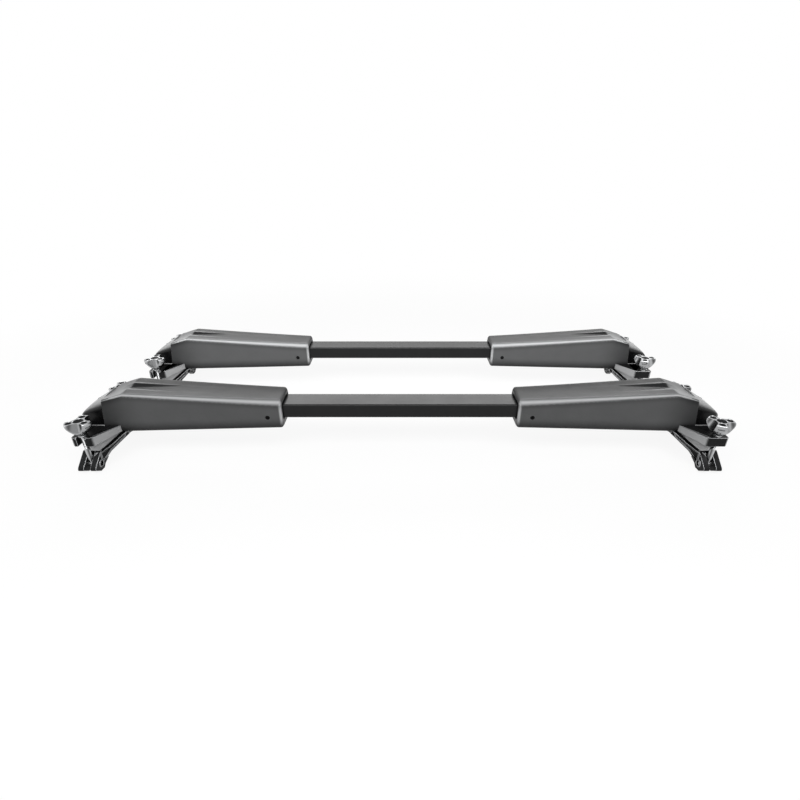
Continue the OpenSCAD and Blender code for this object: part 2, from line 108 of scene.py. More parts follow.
def cappedTube(rings):
    # points of equal closed rings, one after another, and their faces with a cap at each end
    rows, columns = rings.shape[:2]
    faces = gridFaces(rows, columns, closed=True).tolist()
    faces.append(list(reversed(range(columns))))
    faces.append([(rows - 1) * columns + i for i in range(columns)])
    return rings.reshape(-1, 3), faces


def turnedPoints(points, degrees):  # about the z axis
    c, s = math.cos(math.radians(degrees)), math.sin(math.radians(degrees))
    return points @ np.array([[c, s, 0], [-s, c, 0], [0, 0, 1]])


def makeMesh(name, points, faces, sharpAngle=35):
    mesh = bpy.data.meshes.new(name)
    mesh.from_pydata(np.asarray(points, float).tolist(), [], [list(map(int, f)) for f in faces])
    mesh.update()
    tidyMesh(mesh, sharpAngle)
    return mesh


mergeDistance = 0.001  # points nearer than this, in millimetres, become one


def tidyMesh(mesh, sharpAngle=35, outwards=True):
    # merges doubles, points the faces outwards and shades smooth up to an angle
    bm = bmesh.new()
    bm.from_mesh(mesh)
    bmesh.ops.remove_doubles(bm, verts=bm.verts, dist=mergeDistance)
    if outwards:
        bmesh.ops.recalc_face_normals(bm, faces=bm.faces)
    bm.to_mesh(mesh)
    bm.free()
    mesh.shade_smooth()
    mesh.set_sharp_from_angle(angle=math.radians(sharpAngle))


def meshPoints(mesh):
    points = np.empty(len(mesh.vertices) * 3)
    mesh.vertices.foreach_get("co", points)
    return points.reshape(-1, 3)


def placePoints(mesh, points):
    mesh.vertices.foreach_set("co", points.ravel())
    mesh.update()


def shadeMesh(mesh, name, values):  # a shade between 0 and 1 at each point, read by the finish
    mesh.attributes.new(name, "FLOAT", "POINT").data.foreach_set("value", np.clip(values, 0, 1))


def joinShapes(shapes):
    # several (points, faces) put together as one
    points, faces, count = [], [], 0
    for p, f in shapes:
        points.append(np.asarray(p, float))
        faces += [[int(i) + count for i in face] for face in f]
        count += len(p)
    return np.concatenate(points), faces


def movedShape(shape, by):
    return np.asarray(shape[0], float) + by, shape[1]


def aroundAxis(shape, at, angles):
    # the shape moved out along x and turned to each angle about the z axis
    points, faces = movedShape(shape, [at, 0, 0])
    return joinShapes([(turnedPoints(points, angle), faces) for angle in angles])


def turnedShape(profile, segments=48, axis="z"):
    # a profile of (radius, height) carried round an axis: (r cos a, r sin a, h), poles closed by the merge
    r, h = np.asarray(profile, float).T
    a = np.linspace(0, 2 * math.pi, segments, endpoint=False)
    x = np.outer(r, np.cos(a))
    y = np.outer(r, np.sin(a))
    z = np.repeat(h[:, None], segments, axis=1)
    points = np.stack((x, y, z), axis=-1).reshape(-1, 3)
    if axis == "x":
        points = points[:, [2, 0, 1]]
    if axis == "y":
        points = points[:, [1, 2, 0]]
    return points, gridFaces(len(r), segments, closed=True).tolist()


def blockShape(low, high):
    # a box between two corners as one closed mesh
    x, y, z = zip(low, high)
    points = [(x[i], y[j], z[k]) for i in (0, 1) for j in (0, 1) for k in (0, 1)]
    return points, [[0, 1, 3, 2], [4, 6, 7, 5], [0, 4, 5, 1], [2, 3, 7, 6], [0, 2, 6, 4], [1, 5, 7, 3]]


def carve(mesh, cutters, operation="DIFFERENCE", sharpAngle=35):
    # cuts closed shapes out of a mesh, or joins them to it, and returns the finished mesh
    target = bpy.data.objects.new("carved", mesh)
    bpy.context.scene.collection.objects.link(target)
    helpers = []
    for shape in cutters:
        cutter = bpy.data.objects.new("cutter", makeMesh("cutter", *shape))
        bpy.context.scene.collection.objects.link(cutter)
        helpers.append(cutter)
        cut = target.modifiers.new("cut", "BOOLEAN")
        cut.object = cutter
        cut.operation = operation
        cut.solver = "EXACT"
    graph = bpy.context.evaluated_depsgraph_get()
    result = bpy.data.meshes.new_from_object(target.evaluated_get(graph))
    for helper in helpers + [target]:
        data = helper.data
        bpy.data.objects.remove(helper)
        bpy.data.meshes.remove(data)
    tidyMesh(result, sharpAngle, outwards=False)
    return result


def placeEnd(points, foot, clamp):
    # from the sizes at the right front end to the frame, in metres; the second value says whether
    # the place is a mirror image
    x, y, z = points.T
    x = x + rack["barHalfLength"]
    if clamp == 2:
        y = -y
    left = foot.endswith("left")
    if left:
        x = -x
    bar = -rack["barPitch"] / 2 if foot.startswith("front") else rack["barPitch"] / 2
    return np.column_stack((x, y + bar, z + rack["barTop"])) / 1000, (clamp == 2) != left


def addPiece(name, master, standsFor, slotName, foot=None, clamp=1, spin=0.0):
    # a copy of the master mesh at one place; it replaces its CAD node and rides on that node's body
    mesh = master.copy()
    mesh.name = name
    if foot:
        points = meshPoints(mesh)
        if spin:
            centre = np.array([rack["boltX"], rack["boltY"], 0])
            points = turnedPoints(points - centre, spin) + centre
        points, mirrored = placeEnd(points, foot, clamp)
        placePoints(mesh, points)
        if mirrored:
            mesh.flip_normals()
    mesh.materials.clear()
    mesh.materials.append(finish[slotName])
    piece = bpy.data.objects.new(name, mesh)
    bpy.context.scene.collection.objects.link(piece)
    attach(piece, nodes[standsFor]["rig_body"])
    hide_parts(standsFor)
    return piece


# Materials

# colour and dark are the two tones; paintedHighlight (a painted highlight) and shadow (a painted shade)
# are mixed in where a mesh has a shade of that name
finishes = {
    "bar": {
        "colour": (0.010, 0.0102, 0.0105), "dark": (0.007, 0.0072, 0.0075), "patch": 0.05,
        "rough": 0.24, "roughSpread": 0.05, "specular": 0.17, "metal": 0.0,
        "grain": 0.00035, "grainDepth": 0.00002,
    },
    "pad": {
        "colour": (0.082, 0.083, 0.084), "dark": (0.070, 0.071, 0.072), "patch": 0.03,
        # the pad's paler colour is its painted highlight, its darkest one its painted shade
        "paintedHighlight": (0.40, 0.405, 0.41), "shadow": (0.006, 0.0062, 0.0065),
        "rough": 0.34, "roughSpread": 0.05, "specular": 0.12, "metal": 0.0,
        "grain": 0.0005, "grainDepth": 0.00005,
    },
    "cover": {
        "colour": (0.003, 0.003, 0.0032), "dark": (0.002, 0.002, 0.0022), "patch": 0.02,
        # the cover's paler colour is a painted highlight over the crown and along the rim
        "paintedHighlight": (0.50, 0.503, 0.507),
        "rough": 0.26, "roughSpread": 0.06, "specular": 0.2, "metal": 0.0,
        "grain": 0.0008, "grainDepth": 0.00001,
    },
    "casting": {
        "colour": (0.012, 0.0122, 0.0125), "dark": (0.007, 0.0072, 0.0075), "patch": 0.02,
        # the casting's paler colour is a painted sheen on the feet's inward flanks
        "paintedHighlight": (0.30, 0.302, 0.305),
        "rough": 0.28, "roughSpread": 0.08, "specular": 0.08, "metal": 0.0,
        "grain": 0.0006, "grainDepth": 0.00005,
    },
    # paler finish of the rounded casting edges: a painted highlight along them
    "castingEdgeHighlight": {
        "colour": (0.34, 0.344, 0.35), "dark": (0.24, 0.244, 0.25), "patch": 0.012,
        "rough": 0.34, "roughSpread": 0.08, "specular": 0.5, "metal": 0.3,
        "grain": 0.0006, "grainDepth": 0.00003,
    },
    "rubber": {
        "colour": (0.012, 0.012, 0.012), "dark": (0.008, 0.008, 0.008), "patch": 0.02,
        "rough": 0.75, "roughSpread": 0.08, "specular": 0.2, "metal": 0.0,
        "grain": 0.0004, "grainDepth": 0.00006,
    },
    "steel": {
        "colour": (0.56, 0.565, 0.57), "dark": (0.42, 0.425, 0.43), "patch": 0.01,
        # the steel's darkest colour is a painted reflection: a dark line down each clamp bolt
        "shadow": (0.03, 0.0302, 0.0305),
        "rough": 0.22, "roughSpread": 0.10, "specular": 0.5, "metal": 1.0,
        "grain": 0.0004, "grainDepth": 0.00001,
    },
    # near black with little shine, as painted shade inside the screw holes
    "screw": {
        "colour": (0.005, 0.005, 0.0052), "dark": (0.003, 0.003, 0.0032), "patch": 0.006,
        "rough": 0.4, "roughSpread": 0.1, "specular": 0.03, "metal": 0.0,
        "grain": 0.0003, "grainDepth": 0.00001,
    },
    "knob": {
        "colour": (0.40, 0.405, 0.41), "dark": (0.34, 0.345, 0.35), "patch": 0.012,
        # the knob's darkest colour is painted shade in its scallops
        "shadow": (0.035, 0.0352, 0.0355),
        "rough": 0.22, "roughSpread": 0.06, "specular": 0.5, "metal": 1.0,
        "grain": 0.0004, "grainDepth": 0.00002,
    },
    "inlay": {
        "colour": (0.005, 0.005, 0.0055), "dark": (0.003, 0.003, 0.0035), "patch": 0.01,
        "rough": 0.3, "roughSpread": 0.04, "specular": 0.02, "metal": 0.0,
        "grain": 0.0005, "grainDepth": 0.00001,
    },
}
finishDetail = {"patch": 5, "grain": 2, "patchRange": (0.3, 0.7), "grainStrength": 0.6}


def mapRange(tree, value, fromRange, toRange):
    node = tree.nodes.new("ShaderNodeMapRange")
    for name, number in zip(("From Min", "From Max", "To Min", "To Max"), (*fromRange, *toRange)):
        node.inputs[name].default_value = number
    tree.links.new(value, node.inputs["Value"])
    return node


def surfaceFinish(name, values):
    # two tones in soft patches, lighter where a highlight is painted and darker where shade is painted,
    # roughness that wanders, and a fine grain in the bump
    material = bpy.data.materials.new(name)
    material.use_nodes = True
    tree = material.node_tree
    link = tree.links.new
    shader = tree.nodes["Principled BSDF"]
    shader.inputs["Metallic"].default_value = values["metal"]
    shader.inputs["Specular IOR Level"].default_value = values["specular"]
    place = tree.nodes.new("ShaderNodeTexCoord")
    patch = tree.nodes.new("ShaderNodeTexNoise")
    patch.inputs["Scale"].default_value = 1 / values["patch"]
    patch.inputs["Detail"].default_value = finishDetail["patch"]
    grain = tree.nodes.new("ShaderNodeTexNoise")
    grain.inputs["Scale"].default_value = 1 / values["grain"]
    grain.inputs["Detail"].default_value = finishDetail["grain"]
    for texture in (patch, grain):
        link(place.outputs["Object"], texture.inputs["Vector"])
    tone = tree.nodes.new("ShaderNodeMix")
    tone.data_type = "RGBA"
    tone.inputs[6].default_value = (*values["dark"], 1)
    tone.inputs[7].default_value = (*values["colour"], 1)
    link(patch.outputs["Fac"], tone.inputs[0])
    colour = tone.outputs[2]
    for shade in ("paintedHighlight", "shadow"):
        if shade in values:
            amount = tree.nodes.new("ShaderNodeAttribute")
            amount.attribute_name = shade
            over = tree.nodes.new("ShaderNodeMix")
            over.data_type = "RGBA"
            over.inputs[7].default_value = (*values[shade], 1)
            link(amount.outputs["Fac"], over.inputs[0])
            link(colour, over.inputs[6])
            colour = over.outputs[2]
    link(colour, shader.inputs["Base Color"])
    roughRange = (values["rough"] - values["roughSpread"] / 2, values["rough"] + values["roughSpread"] / 2)
    spread = mapRange(tree, patch.outputs["Fac"], finishDetail["patchRange"], roughRange)
    link(spread.outputs["Result"], shader.inputs["Roughness"])
    bump = tree.nodes.new("ShaderNodeBump")
    bump.inputs["Distance"].default_value = values["grainDepth"]
    bump.inputs["Strength"].default_value = finishDetail["grainStrength"]
    link(grain.outputs["Fac"], bump.inputs["Height"])
    link(bump.outputs["Normal"], shader.inputs["Normal"])
    return material


finish = {name: surfaceFinish(name + " finish", values) for name, values in finishes.items()}

# which finish each CAD node gets, by the start of its name; the first that fits counts
nodeSlots = [
    ("bar_", "bar"), ("pad_screws", "screw"), ("pad_", "pad"), ("cover_screws", "screw"),
    ("cover_", "cover"), ("foot_bolts", "steel"), ("foot_", "casting"), ("lower_jaw_", "casting"),
    ("upper_jaw_rubbers", "rubber"), ("jaw_rubber_", "rubber"), ("hinge_pins", "steel"),
    ("bolt_", "steel"), ("washer_", "steel"), ("knob_", "knob"), ("inlay_", "inlay"),
]
for name, node in nodes.items():
    slotName = next(s for start, s in nodeSlots if name.startswith(start))
    for place in node.material_slots:
        place.material = finish[slotName]
print("materials made:", len(finish))


# Cradle pads

# a shade's pair is where it starts and where it is full, or, in a hump, its middle and its width;
# angles are degrees round the top arc, or round the inner end's rounding
padSizes = {
    # the outline
    "innerX": -331.5, "peakX": -40.0, "endX": 9.0, "endLean": 7.0, "endTop": 18.8,
    "halfInner": 35.0, "flare": 4.4, "topInner": 13.3, "topPeak": 29.6, "risePower": 1.15,
    "dropInner": -46.5, "dropOuter": -52.0, "lowRadius": 8.0, "topRadius": (10.0, 4.5), "topArc": 85,
    "innerRound": 6.0, "peakRound": 3.0, "endRound": 0.8,
    "valleyDepth": 4.3, "valleyY": 12.5, "valleyLength": 92.0, "valleySide": 1.5, "valleyFloor": 1.0,
    "ridgeOut": 1.2, "soften": 0.7, "dish": 0.9,
    # what is cut out: the funnel, the bar's channel, cells between ribs, a pocket and room for the ears
    "mouth": (4.2, 1.0), "mouthLength": 14.0, "mouthCorner": 3.5,
    "channelStart": -340.0, "fit": 0.1, "below": -80.0, "beyond": 20.0,
    "cellStarts": (-136, -192, -248, -304), "cellLength": 48.0, "cellHalf": 26.0, "cellTop": -33.0,
    "pocketStart": -80.0, "pocketHalf": 34.9, "pocketTop": -27.0,
    "earStart": -21.5, "earHalf": 60.0, "earTop": -36.7,
    "screwX": -303.3, "screwZ": -22.0,
    "screwHole": [(0, -60), (4.4, -60), (4.4, -32), (2.6, -32), (2.6, -24), (0, -24)],
    # painted highlights
    "edgeHump": (36, 27), "frontEdge": (45, 60), "frontEdgeAmount": 0.3, "edgeDepth": 0.8,
    "endHump": (50, 30), "flankOut": (26, 31), "flankUp": (-46, -30),
    "ridgeHump": (1.5, 1.8), "ridgeAmount": 0.8,
    "slopeRun": 5, "slopeAcross": (-35, 25), "slopeAmount": (0.75, 0.25),
    # painted shadows
    "lowRun": (26, -1), "lowAmount": 0.9, "outerRun": (-75, 5), "outerAmount": 0.5,
    "underHump": (-1.5, 6), "underAmount": 0.3, "topAbove": 5, "topTurn": (55, 85),
    "nearAcross": (-33, -13), "nearAmount": 0.55, "farAcross": (-18, 24), "farAmount": 0.43,
    "creaseHump": (0, 1.6), "creaseAmount": 0.95, "farSideAmount": 0.35, "creaseShare": 0.9,
    "streakRun": (-270, -120), "streakHump": (0, 7), "streakAmount": 0.14,
    "besideHump": (14, 3.5), "besideAmount": 0.26,
    "holeRadius": 4.6, "holeY": (-34.9, -30),
}


def padAlong(x):  # 0 at the inner end, 1 at the highest point
    return along(x, padSizes["innerX"], padSizes["peakX"])


def padRidge(x):
    # rises with t^1.15 up to the highest point, then falls straight to the end cover; a running mean
    # over a short stretch rounds the bend
    s = padSizes
    fallLength = s["endX"] - s["endLean"] - s["peakX"]
    total = np.zeros_like(x)
    shifts = np.linspace(-1, 1, 9) * s["peakRound"]
    for shift in shifts:
        rise = mix(s["topInner"], s["topPeak"], padAlong(x + shift) ** s["risePower"])
        fall = mix(s["topPeak"], s["endTop"], (x + shift - s["peakX"]) / fallLength)
        total += np.minimum(rise, fall)
    return total / len(shifts)


def padValley(x):
    # share of the valley's full depth: grows straight to the highest point; after it the floor runs
    # level until the outer slope meets it
    s = padSizes
    fallLength = s["endX"] - s["endLean"] - s["peakX"]
    meetX = s["peakX"] + s["valleyDepth"] * fallLength / (s["topPeak"] - s["endTop"])
    grow = (x - s["peakX"] + s["valleyLength"]) / s["valleyLength"]
    fade = (meetX - x) / (meetX - s["peakX"])
    return np.clip(np.minimum(grow, fade), 0, 1)


def padSection(x, inset):
    # half outline at each x: flat bottom, low arc, straight side, top arc, then the slightly dished
    # ridge and the valley's side down to its floor; the depth is averaged over a short width, which
    # rounds its edges
    s = padSizes
    x, inset = x[:, None], inset[:, None]
    t, share = padAlong(x), padValley(x)
    w = s["halfInner"] + s["flare"] * t - inset
    low = mix(s["dropInner"], s["dropOuter"], t) + inset
    top = padRidge(x) - inset
    lowR, topR = s["lowRadius"], mix(*s["topRadius"], t)
    bottom = np.linspace(0, 1, 5)[None, :-1]
    a = np.radians(np.linspace(-90, 0, 12))[None]
    side = np.linspace(0, 1, 20)[None, 1:-1]
    b = np.radians(np.linspace(0, s["topArc"], 15))[None]
    edgeY = w - topR + topR * np.cos(b[:, -1:])
    ridgeY = s["valleyY"] + s["ridgeOut"]
    flat = mix(edgeY, ridgeY, np.linspace(0, 1, 5)[None, 1:])
    groove = ridgeY * np.linspace(1, 0, 28)[None, 1:] + 0 * x
    across = np.concatenate((flat, groove), axis=1)
    floorY = mix(s["valleyY"] - s["valleySide"], s["valleyFloor"], share)
    depth = np.zeros_like(across)
    shifts = np.linspace(-1, 1, 9) * s["soften"]
    for shift in shifts:
        depth += along(np.abs(across + shift), s["valleyY"], floorY) / len(shifts)
    dished = top - s["dish"] * (1 - share) * (1 - (across / edgeY) ** 2)
    ys = [bottom * (w - lowR), w - lowR + lowR * np.cos(a), w + 0 * side,
          w - topR + topR * np.cos(b), across]
    zs = [low + 0 * bottom, low + lowR + lowR * np.sin(a), mix(low + lowR, top - topR, side),
          top - topR + topR * np.sin(b), dished - s["valleyDepth"] * share * depth]
    return np.concatenate(ys, axis=1), np.concatenate(zs, axis=1)


def padEndX(z):
    # where the pad meets the end cover: leans inwards with height
    return padSizes["endX"] - padSizes["endLean"] * along(z, rack["footTop"], padSizes["endTop"])


def padPaintedLight(points):
    # two painted shades at each point. The painted highlight is 1 on the rounded upper edges and on the
    # inner end's rounding, and less on the two ridges beside the valley and on the outer slope. The painted
    # shadow grows down the flanks and towards the outer end, from front to back over the top, and in the
    # valley; faint painted streaks carry the valley and its ridges on towards the inner end
    s = padSizes
    x, y, z = points.T
    t, share = padAlong(x), padValley(x)
    r = mix(*s["topRadius"], t)
    a = np.abs(y) - (s["halfInner"] + s["flare"] * t - r)
    b = z - (padRidge(x) - r)
    turn = np.degrees(np.arctan2(b, a))
    onArc = (a > 0) * (b > -0.01)
    onTop = (z > s["topAbove"]) * (a < 0) + onArc * ramp(turn, *s["topTurn"])
    onSlope = ramp(x, s["peakX"], s["peakX"] + s["slopeRun"])
    onFlank = ramp(np.abs(y), *s["flankOut"]) * ramp(z, *s["flankUp"])
    ridge = hump(np.abs(y) - s["valleyY"], *s["ridgeHump"]) * share

    frontEdge = s["frontEdgeAmount"] * ramp(turn, *s["frontEdge"]) * (y < 0)
    edge = np.maximum(hump(turn, *s["edgeHump"]), frontEdge)
    edge = edge * onArc * (a * a + b * b > (s["edgeDepth"] * r) ** 2)
    endTurn = np.degrees(np.arccos(np.clip(1 - (x - s["innerX"]) / s["innerRound"], 0, 1)))
    innerEnd = hump(endTurn, *s["endHump"]) * (x < s["innerX"] + s["innerRound"])
    slope = onSlope * onTop * mix(*s["slopeAmount"], ramp(y, *s["slopeAcross"]))
    paintedHighlight = np.maximum.reduce([edge, innerEnd * onFlank, s["ridgeAmount"] * ridge * onTop, slope])

    low = mix(s["dropInner"], s["dropOuter"], t)
    shadow = s["lowAmount"] * ramp(z - low, *s["lowRun"])
    shadow += s["outerAmount"] * ramp(x, *s["outerRun"]) * (b < 0)
    shadow += s["underAmount"] * hump(b, *s["underHump"]) * (b < 0)
    across = s["nearAmount"] * ramp(y, *s["nearAcross"]) + s["farAmount"] * ramp(y, *s["farAcross"])
    across = across * (1 - ridge)
    crease = s["creaseAmount"] * hump(y, *s["creaseHump"])
    crease = crease + s["farSideAmount"] * (y > 0) * (y < s["valleyY"])
    streak = s["streakAmount"] * hump(y, *s["streakHump"])
    streak = streak - s["besideAmount"] * hump(np.abs(y), *s["besideHump"])
    onLevel = onTop * (1 - onSlope)
    shadow += onLevel * along(x, *s["streakRun"]) * streak
    shadow += onLevel * np.maximum(across, share * crease + across * s["creaseShare"])
    # painted shade inside the screw hole
    inHole = np.hypot(x - s["screwX"], z - s["screwZ"]) < s["holeRadius"]
    shadow += inHole * (y > s["holeY"][0]) * (y < s["holeY"][1])
    return paintedHighlight, shadow


def mouthShape():
    # a funnel round the bar: rounded rectangles whose offset falls as (1 - u)^2 from the pad's end inwards
    s = padSizes
    turn = np.radians(np.linspace(0, 90, 7))
    rings = []
    for u in (-0.6, 0, 0.2, 0.4, 0.6, 0.8, 1.0):
        offset = mix(s["mouth"][1], s["mouth"][0], (1 - u) ** 2)
        halfY, halfZ = rack["barHalfWidth"] + offset, rack["barHeight"] / 2 + offset
        r = s["mouthCorner"] + offset
        corner = np.column_stack((halfY - r + r * np.cos(turn), halfZ - r + r * np.sin(turn)))
        upper = np.concatenate((corner, (corner * [-1, 1])[::-1]))
        ring = np.concatenate((upper, upper * -1))
        x = np.full(len(ring), s["innerX"] + u * s["mouthLength"])
        rings.append(np.column_stack((x, ring[:, 0], ring[:, 1] - rack["barHeight"] / 2)))
    return cappedTube(np.array(rings))


def padCuts():
    s = padSizes
    halfBar, beyond = rack["barHalfWidth"] + s["fit"], s["beyond"]

    def hollowBelow(start, end, half, top):
        return blockShape((start, -half, s["below"]), (end, half, top))

    channelLow = (s["channelStart"], -halfBar, -rack["barHeight"] - s["fit"])
    channel = blockShape(channelLow, (beyond, halfBar, s["fit"]))
    cells = [hollowBelow(x, x + s["cellLength"], s["cellHalf"], s["cellTop"]) for x in s["cellStarts"]]
    pocket = hollowBelow(s["pocketStart"], beyond, s["pocketHalf"], s["pocketTop"])
    earRoom = hollowBelow(s["earStart"], beyond, s["earHalf"], s["earTop"])
    screwHole = movedShape(turnedShape(s["screwHole"], 32, "y"), [s["screwX"], 0, s["screwZ"]])
    return [joinShapes([channel] + cells), mouthShape(), pocket, earRoom, screwHole]


def padBody():
    # the section carried along x, with its rows closer together at the roundings
    s = padSizes
    turn = np.radians(np.linspace(0, 90, 10))
    startX = s["innerX"] + s["innerRound"] * (1 - np.cos(turn))
    startInset = s["innerRound"] * (1 - np.sin(turn))
    runX = np.linspace(startX[-1], s["peakX"] - s["peakRound"] - 1, 78)[1:]
    bendX = s["peakX"] + np.linspace(-s["peakRound"], s["peakRound"], 9)
    lastX = np.linspace(bendX[-1], s["endX"] - s["endRound"], 14)[1:]
    tipX = s["endX"] - s["endRound"] * (1 - np.sin(turn[::3][1:]))
    tipInset = s["endRound"] * (1 - np.cos(turn[::3][1:]))
    xs = np.concatenate((startX, runX, bendX, lastX, tipX))
    inset = np.concatenate((startInset, np.zeros(len(xs) - len(startX) - len(tipX)), tipInset))
    y, z = padSection(xs, inset)
    lean = ramp(xs, bendX[-1], s["endX"])[:, None]
    x = xs[:, None] + lean * (padEndX(z) - s["endX"])
    half = np.stack((x, y, z), axis=-1)
    rings = np.concatenate((half, half[:, ::-1][:, 1:-1] * [1, -1, 1]), axis=1)
    mesh = carve(makeMesh("pad body", *cappedTube(rings), 15), padCuts(), sharpAngle=15)
    for name, values in zip(("paintedHighlight", "shadow"), padPaintedLight(meshPoints(mesh))):
        shadeMesh(mesh, name, values)
    return mesh


padMesh = padBody()
for foot in feet:
    addPiece(f"cradlePad_{foot}", padMesh, f"pad_{foot}", "pad", foot)
print("cradle pads made:", len(padMesh.polygons), "faces each")


# End covers

coverSizes = {
    # the outline
    "nose": 62.0, "halfWidth": 38.4, "wall": 3.0, "low": -36.9, "wallSteps": (0, 0.8, 1.7, 4, 8, 14),
    "seamX": 2.0, "seam": 0.3, "seamRound": 0.8, "lip": 0.9, "soften": 1.6, "power": 0.8,
    "sideExtra": 0.02, "noseExtra": 6.0, "crown": (19.5, 36.0, 14.0), "shoulder": (-7.0, 8.0),
    "underCrown": 4.0,
    # the screw let into the crown
    "screwX": 26.0, "screwRadius": 2.0, "headRadius": 4.0, "headDepth": 3.5,
    "postWall": 2.0, "holeBeyond": 20.0,
    # painted highlights
    "crest": (0.4, 0.85), "crestAmount": 0.7, "crestAtNose": 0.7,
    "rimHeight": 1.3, "rimEnd": 40.0, "rimAmount": 0.7, "holeMargin": (0.3, -0.1), "holeLip": 0.8,
}


def coverAlong(x):  # 0 at the seam, 1 at the nose
    return along(x, coverSizes["seamX"], coverSizes["nose"])


def softLesser(a, b, width):  # the lesser of two, with the bend between them rounded
    return 0.5 * (a + b - np.sqrt((a - b) ** 2 + width ** 2))


def coverHalf(x):
    # straight sides, then a nose after sqrt(1 - t^3)
    s = coverSizes
    nose = s["halfWidth"] * np.sqrt(1 - coverAlong(x) ** 3) + s["noseExtra"]
    return softLesser(s["halfWidth"] + s["sideExtra"], nose, s["soften"])


def coverCrown(x):
    # level with the pad's end, then falls with t, and with t^6 near the nose
    t = coverAlong(x)
    start, fall, noseFall = coverSizes["crown"]
    return start - fall * t - noseFall * t ** 6


def coverEdge(x):
    # the shoulder falls straight with t, but stays below the crown
    s = coverSizes
    start, fall = s["shoulder"]
    return softLesser(start - fall * coverAlong(x), coverCrown(x) - s["underCrown"], s["soften"])


def coverSheet(steps, wall):
    # one skin: at each step a straight wall from the rim to the shoulder, then a superellipse with
    # power 0.8 over the crown, drawn in by the wall; the first row leans with the pad's end
    s = coverSizes
    up = np.array(s["wallSteps"])[None]
    walls = up.shape[1]
    turn = np.radians(np.concatenate((np.zeros(walls), np.linspace(0, 90, 26))))[None]
    straight = mix(s["seamX"], s["nose"] - wall, steps)[:, None]
    x = straight + 0 * turn
    for _ in range(4):  # the lean follows the height and the height follows x, so both are worked out anew
        side, edge, crown = coverHalf(x) - wall, coverEdge(x) - wall / 2, coverCrown(x) - wall
        y = side * np.cos(turn) ** s["power"]
        z = edge + (crown - edge) * np.sin(turn) ** s["power"]
        z[:, :walls] = np.minimum(s["low"] + up, z[:, :walls])
        x = straight + (padEndX(z) + s["seam"] - s["seamX"]) * (1 - steps[:, None]) ** 2
    if wall == 0:  # the outer skin is rounded at the seam and has a lip along its rim
        rounding = 0.5 * s["seamRound"] * np.clip((s["seamRound"] - (x - x[:1])) / s["seamRound"], 0, 1) ** 2
        y = y - rounding
        z = np.maximum(z - rounding, s["low"])
        y[:, :2] += s["lip"] * np.minimum(1, 2 * side[:, :2] / s["halfWidth"])
    half = np.stack((x, y, z), axis=-1)
    return np.concatenate((half, half[:, ::-1][:, 1:] * [1, -1, 1]), axis=1)


def coverFaces(rows, columns):
    # the two skins, then strips between them along both rims and the seam, and flat faces at the nose
    count, last = rows * columns, (rows - 1) * columns
    skin = gridFaces(rows, columns)
    faces = skin.tolist() + (skin[:, ::-1] + count).tolist()
    rim = np.arange(rows - 1) * columns
    rim = np.concatenate((rim, rim + columns - 1))
    faces += np.stack((rim, rim + columns, rim + columns + count, rim + count), axis=-1).tolist()
    seam = np.arange(columns - 1)
    faces += np.stack((seam + 1, seam, seam + count, seam + 1 + count), axis=-1).tolist()
    faces.append([last + j for j in range(columns)])
    faces.append([last + j + count for j in reversed(range(columns))])
    faces.append([last, last + columns - 1, last + columns - 1 + count, last + count])
    return faces


def coverShell():
    s = coverSizes
    near = np.array([0, 0.004, 0.009, 0.015])
    further = near[-1] + (1 - near[-1]) * np.sin(np.linspace(0, math.pi / 2, 46)[1:]) ** 1.1
    steps = np.concatenate((near, further))
    outer, inner = coverSheet(steps, 0), coverSheet(steps, s["wall"])
    points = np.concatenate((outer.reshape(-1, 3), inner.reshape(-1, 3)))
    shell = makeMesh("cover shell", points, coverFaces(*outer.shape[:2]), 40)
    seat = float(coverCrown(s["screwX"])) - s["headDepth"]
    r, postR, screwR = s["headRadius"], s["headRadius"] + s["postWall"], s["screwRadius"]
    post = turnedShape([(0, s["low"]), (postR, s["low"]), (postR, seat + 1), (0, seat + 1)], 40)
    bottom, top = s["low"] - s["holeBeyond"], seat + s["holeBeyond"]
    hole = turnedShape([(0, bottom), (screwR, bottom), (screwR, seat), (r, seat), (r, top), (0, top)], 40)
    post, hole = (movedShape(shape, [s["screwX"], 0, 0]) for shape in (post, hole))
    mesh = carve(carve(shell, [post], "UNION"), [hole])
    shadeMesh(mesh, "paintedHighlight", coverPaintedHighlight(meshPoints(mesh)))
    return mesh


def coverPaintedHighlight(points):
    # painted highlight: paler over the crown and along the lower rim, and not inside the screw's hole
    s = coverSizes
    x, y, z = points.T
    edge, crown = coverEdge(x), coverCrown(x)
    crest = ramp((z - edge) / (crown - edge), *s["crest"]) * mix(1, s["crestAtNose"], coverAlong(x))
    rim = s["rimAmount"] * (z < s["low"] + s["rimHeight"]) * (x < s["rimEnd"])
    away = np.hypot(x - s["screwX"], y) - s["headRadius"]
    outside = (away > s["holeMargin"][0]) | ((z > crown - s["holeLip"]) & (away > s["holeMargin"][1]))
    return np.maximum(s["crestAmount"] * crest, rim) * outside


coverMesh = coverShell()
for foot in feet:
    addPiece(f"endCover_{foot}", coverMesh, f"cover_{foot}", "cover", foot)
print("end covers made:", len(coverMesh.polygons), "faces each")


# Castings: the feet and the lower jaws take the frame's shape, with their edges rounded

castingSizes = {
    # metres, and angles in degrees
    "merge": 0.00002, "flatAngle": 0.5, "edge": 0.0018, "segments": 3, "sharpFrom": 40, "smoothTo": 30,
    "fineShare": 0.35, "longEdge": 0.010, "topWithin": 0.0002, "overshoot": 0.00015,
    "flank": (0.829, 0.559), "flankSpread": 0.10,
}


def faceVectors(mesh, name):
    values = np.empty(len(mesh.polygons) * 3)
    mesh.polygons.foreach_get(name, values)
    return values.reshape(-1, 3)


def castingPaintedSheen(mesh):
    # painted sheen on the flanks: inward faces square to the slope between a foot's narrow and wide end
    normals, centres = faceVectors(mesh, "normal"), faceVectors(mesh, "center")
    facing = np.abs(normals) @ np.array([*castingSizes["flank"], 0])
    return along(facing, 1 - castingSizes["flankSpread"], 1) * (normals[:, 0] * centres[:, 0] < 0)


